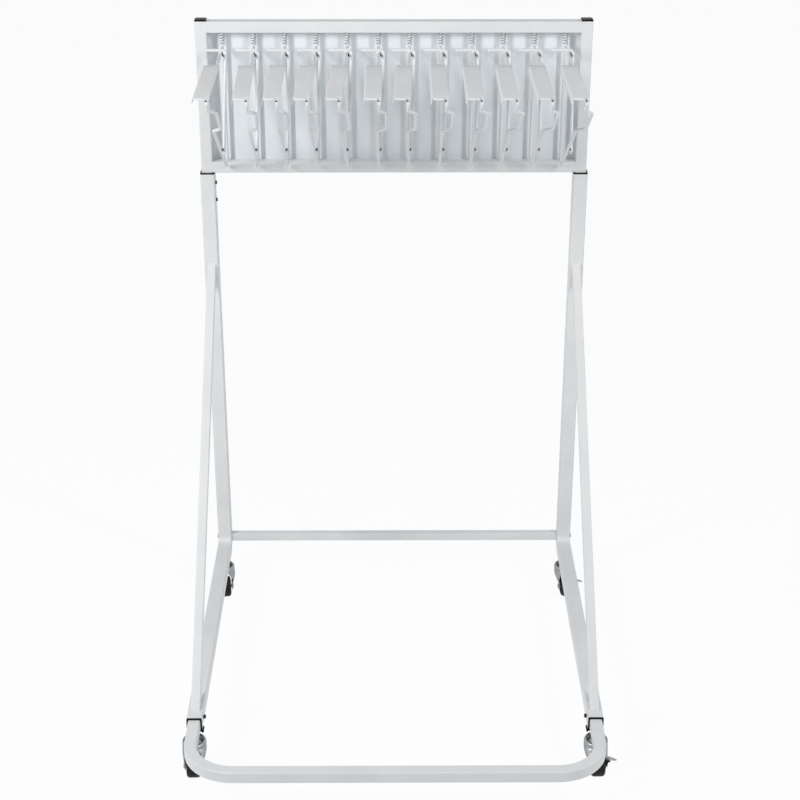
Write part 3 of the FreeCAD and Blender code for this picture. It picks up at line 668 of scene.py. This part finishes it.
def makeFasteners():
    screws = [moved(screwShape(fasteners[head]), shift(*spot) @ inward(spot[0]))
              for head, spots in (("columnHead", "columnScrews"), ("railHead", "railScrews"))
              for spot in fasteners[spots]]
    makePiece("clampScrews", merged(screws), "black_screw", "side_frames", ["clamp_screws"], sharp=30)
    bolts = [moved(boltShape(), shift(*spot) @ inward(-spot[0])) for spot in fasteners["bolts"]]
    makePiece("crossbarBolts", merged(bolts), "zinc_plate", "side_frames", ["crossbar_bolts"], sharp=30)
    spots = [(x, z) for z in fasteners["rivetZs"] for x in fasteners["rivetXs"]] + fasteners["sideRivets"]
    rivets = [moved(lathe(fasteners["rivet"], 28), shift(x, fasteners["rivetFace"], z) @ turn(-90, "X"))
              for x, z in spots]
    makePiece("blindRivets", merged(rivets), "zinc_plate", "head", ["panel_rivets"])
    tongues = [tongueShape(*spot) for spot in fasteners["tongues"]]
    makePiece("bushingTongues", merged(tongues), "black_plastic", "side_frames", bevel=0.5)
    caps = [moved(capShape(), shift(*spot)) for spot in fasteners["capSpots"]]
    makePiece("postCaps", merged(caps), "black_plastic", "head", ["post_caps"])


makeFasteners()
print("fasteners made")

# label plates: one bent sheet on each arm, with a flange on the left and a notched lip in front
plates = {
    "from": 163.0, "to": 398.0, "left": -25.0, "top": 4.75, "steps": 8, "sheet": 1.2, "edge": 0.25,
    # the flange leans out below a knee: how far each stands left of the bend, and how far under it
    "flange": [(2.2, 11.6), (0.6, 4)], "bend": 2.2, "bendSteps": 6,
    # places across the flat top; the lip runs from the bend to the third of them
    "across": [-16, -8, -0.6, 4, 9.0], "lipColumns": (8, 12), "lip": 5.2, "lipAngle": 65.0,
    "slope": 1.579, "wireHeight": 1320.8,
}
arms = {"angles": [0.0, 1.5, 0.4, -0.8, -1.4, 0.0, -1.5, -0.4, -0.1, 0.1, 0.5, 0.4], "pitch": 67.5, "columnY": 457.75}


def armPlace(index):
    return shift((index - 5.5) * arms["pitch"], arms["columnY"], 0) @ turn(arms["angles"][index], "Z")


def plateShape():
    left, top, bend, lip, steps = (plates[name] for name in ("left", "top", "bend", "lip", "steps"))
    across = [(left - out, top - bend - down) for out, down in plates["flange"]]
    across += [(left + bend - bend * math.cos(a), top - bend + bend * math.sin(a))
               for a in [math.pi / 2 * k / plates["bendSteps"] for k in range(plates["bendSteps"] + 1)]]
    across += [(x, top) for x in plates["across"]]
    along = [plates["from"] + (plates["to"] - plates["from"]) * k / steps for k in range(steps + 1)]
    points = [(x, -b, z) for b in along for x, z in across]
    faces = sheetFaces(steps + 1, len(across))
    edge = [steps * len(across) + c for c in range(*plates["lipColumns"])]
    for k in range(1, steps + 1):
        a = math.radians(plates["lipAngle"]) * k / steps
        fresh = list(range(len(points), len(points) + len(edge)))
        points += [(points[c][0], -plates["to"] - lip * math.sin(a), top - lip + lip * math.cos(a)) for c in edge]
        faces += [(edge[c], edge[c + 1], fresh[c + 1], fresh[c]) for c in range(len(edge) - 1)]
        edge = fresh
    return moved((points, faces), shift(0, 0, plates["wireHeight"]) @ turn(plates["slope"], "X"))


def makePlates():
    shape = plateShape()
    for index in range(len(arms["angles"])):
        body = f"arm_{index + 1}"
        makePiece(f"labelPlate{index + 1}", moved(shape, armPlace(index)), "label_paint", body, [body + "_plate"],
                  sheet=plates["sheet"], bevel=plates["edge"])


makePlates()
print("label plates bent")

# welds: rippled beads along joints, and the small ground fillers at the head's corners
bead = {"ripple": 2.2, "steps": 10, "swell": 0.16, "wander": 1.7, "end": 0.45}


def beadShape(path, radius, closed=False):
    steps = bead["steps"]
    dots = [Vector(point) for point in path]
    if closed:
        dots.append(dots[0])
    spots = []
    for first, last in zip(dots, dots[1:]):
        count = max(2, round((last - first).length / (bead["ripple"] / 4)))
        spots += [first.lerp(last, k / count) for k in range(count)]
    if not closed:
        spots.append(dots[-1])
    rings = []
    for k, spot in enumerate(spots):
        ahead = spots[(k + 1) % len(spots)] if closed else spots[min(k + 1, len(spots) - 1)]
        behind = spots[k - 1] if closed or k else spots[0]
        along = (ahead - behind).normalized()
        turned = along.to_track_quat("Z", "X").to_matrix()
        swell = radius * (1 + bead["swell"] * math.sin(k * math.pi / 2 + math.sin(k * bead["wander"])))
        if not closed and k in (0, len(spots) - 1):
            swell *= bead["end"]
        rings.append([tuple(spot + turned @ Vector((swell * math.cos(a), swell * math.sin(a), 0)))
                      for a in [2 * math.pi * n / steps for n in range(steps)]])
    points, faces = stack(rings, closed)
    if not closed:
        faces += [tuple(range(steps)), tuple(range(len(points) - 1, len(points) - steps - 1, -1))]
    return points, faces


welds = {
    "columnX": 416, "braceTop": 827.0, "braceRun": 713.1, "columnFront": 441.75, "railTop": 102.0, "braceHalf": 9.5,
    "bead": 1.5, "inset": 1,
    "rails": [(1353, 1378), (1041, 1066)], "jointX": 403.5, "front": 445.25, "back": 470.25, "railBead": 1.2,
    "railInset": 3,
    # corner filler: how far each point stands outward of the joint and behind the rail's front
    "filler": [(-0.8, 1.2), (-0.8, -0.02), (0, -0.06), (1.6, -0.06), (2.7, -0.01), (2.2, 0.4), (0.9, 1.6)],
    "fillerInset": 1.2,
}


def braceBeads(side):
    top, run, front, rail = (welds[name] for name in ("braceTop", "braceRun", "columnFront", "railTop"))
    inset, wide = welds["inset"], 2 * welds["braceHalf"]
    half, x = welds["braceHalf"] - inset, side * welds["columnX"]
    slant = math.atan2(top - rail, run)
    high, low = top - wide / math.cos(slant), front - run + wide / math.sin(slant)
    upper = [(x - half, front, top - inset), (x + half, front, top - inset),
             (x + half + inset, front, top - 2 * inset), (x + half + inset, front, high + 2 * inset),
             (x + half, front, high + inset), (x - half, front, high + inset),
             (x - half - inset, front, high + 2 * inset), (x - half - inset, front, top - 2 * inset)]
    lower = [(px, front - run + (top - inset - pz) * (low - front + run) / (top - high) + inset, rail)
             for px, _, pz in upper]
    return [beadShape(path, welds["bead"], closed=True) for path in (upper, lower)]


def cornerFiller(side, low, high):
    outline = [(welds["jointX"] * side + side * out, welds["front"] + behind) for out, behind in welds["filler"]]
    return prism(outline, low + welds["fillerInset"], high - welds["fillerInset"])


def makeWelds():
    makePiece("braceWelds", merged(braceBeads(-1) + braceBeads(1)), "frame_paint", "side_frames", sharp=60)
    front, back = welds["front"] + welds["railInset"], welds["back"] - welds["railInset"]
    fillers, beads = [], []
    for side in (-1, 1):
        x = side * welds["jointX"]
        for low, high in welds["rails"]:
            fillers.append(cornerFiller(side, low, high))
            beads += [beadShape([(x, front, z), (x, back, z)], welds["railBead"]) for z in (low, high)]
    makePiece("cornerFillers", merged(fillers), "frame_paint", "head", sharp=60)
    makePiece("railBeads", merged(beads), "frame_paint", "head", sharp=60)


makeWelds()
print("welds run")

# arm welds: where the strut's hook crosses the top wire, where its foot meets the main wire, and round the pivot rod
# places are (x, distance in front of the pivot, height)
armWelds = {
    "radius": 1.9,
    "hook": (0, 54, 1322.6), "hookHalf": 3.4, "hookGap": 3.0,
    "foot": (5.6, 134.5, 1126), "footEnds": (4, -3), "footGap": 3.2,
    "pivotRadius": 3.3, "pivotRise": 2.9, "pivotBead": 1.3, "pivotTurns": (-0.9, -0.1), "pivotSteps": 8,
    # painted shade: small dark spots that stand for the shade in the corners between the wires and in the gap behind
    # the lip
    "shadeSpotRadius": 1.5,
    "shadeSpots": [[(3.8, 58, 1321.5), (5.6, 60.5, 1317.5), (7.0, 61.5, 1314)],
              [(4.6, 138.4, 1135), (5.2, 138.6, 1130)],
              [(0.6, 404.0, 1310.2), (4.0, 405.6, 1310.4)]],
}


def armWeldShape():
    radius, half = armWelds["radius"], armWelds["hookHalf"]
    x, b, z = armWelds["hook"]
    beads = [beadShape([(x - half, -b - gap, z), (x + half, -b - gap, z)], radius)
             for gap in (-armWelds["hookGap"], armWelds["hookGap"])]
    x, b, z = armWelds["foot"]
    up, down = armWelds["footEnds"]
    beads += [beadShape([(x, -b - gap, z + up), (x, -b - gap, z + down)], radius)
              for gap in (-armWelds["footGap"], armWelds["footGap"])]
    start, end = (math.pi * share for share in armWelds["pivotTurns"])
    turns = [start + (end - start) * k / armWelds["pivotSteps"] for k in range(armWelds["pivotSteps"] + 1)]
    reach, rise, height = armWelds["pivotRadius"], armWelds["pivotRise"], plates["wireHeight"]
    ring = [(reach * math.cos(a), reach * math.sin(a), height + rise * math.cos(a * 2)) for a in turns]
    return merged(beads + [beadShape(ring, armWelds["pivotBead"])])


# dark spots of painted shade, set in the crevices between the wires and behind the plate's lip
def armShadeSpotShape():
    return merged([beadShape([(x, -b, z) for x, b, z in path], armWelds["shadeSpotRadius"]) for path in armWelds["shadeSpots"]])


def makeArmWelds():
    shape, shadeSpots = armWeldShape(), armShadeSpotShape()
    for index in range(len(arms["angles"])):
        body = f"arm_{index + 1}"
        makePiece(f"armWelds{index + 1}", moved(shape, armPlace(index)), "wire_paint", body, sharp=60)
        # painted shade spots, given the screws' black finish
        makePiece(f"armShadeSpots{index + 1}", moved(shadeSpots, armPlace(index)), "black_screw", body, sharp=60)


makeArmWelds()
print("arm welds run")
